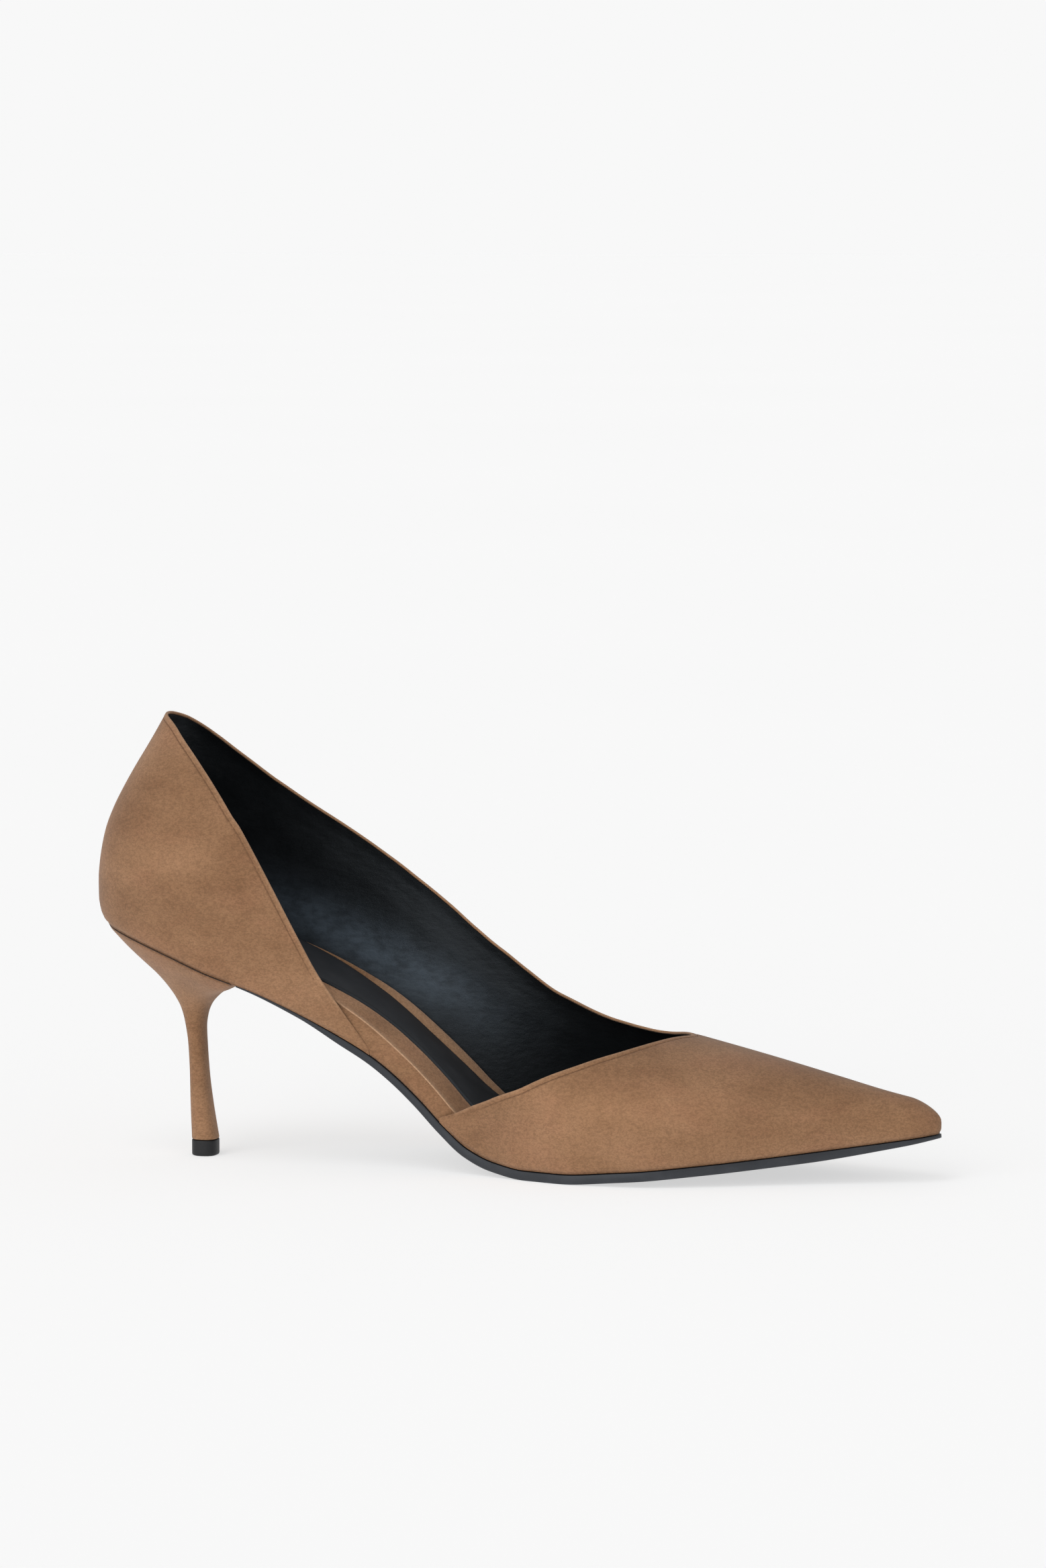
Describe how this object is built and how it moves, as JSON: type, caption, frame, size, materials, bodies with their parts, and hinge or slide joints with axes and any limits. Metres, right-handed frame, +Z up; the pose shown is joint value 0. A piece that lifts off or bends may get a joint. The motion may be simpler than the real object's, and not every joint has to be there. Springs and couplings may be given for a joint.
{
  "type": "suede pump",
  "caption": "Pointed suede pump with a slim covered heel, cut down to the sole on its inner side, with a black leather lining and a thin outsole.",
  "frame": {"origin": "middle of the shoe's bounding box, on the floor", "axes": "+X from heel to toe, +Y toward the outer side, +Z up"},
  "size_m": [0.254, 0.073, 0.1329],
  "materials": {
    "suede": "brown suede with a short mottled nap, matte",
    "lining_leather": "black smooth lining leather, soft sheen",
    "outsole_leather": "black finished sole edge and flat sole, satin",
    "top_piece": "black moulded top piece, matte"
  },
  "bodies": {
    "root": {"upper": "suede", "insole": "suede", "heel": "suede", "sock": "lining_leather", "outsole": "outsole_leather", "heel_tip": "top_piece"}
  },
  "joints": []
}
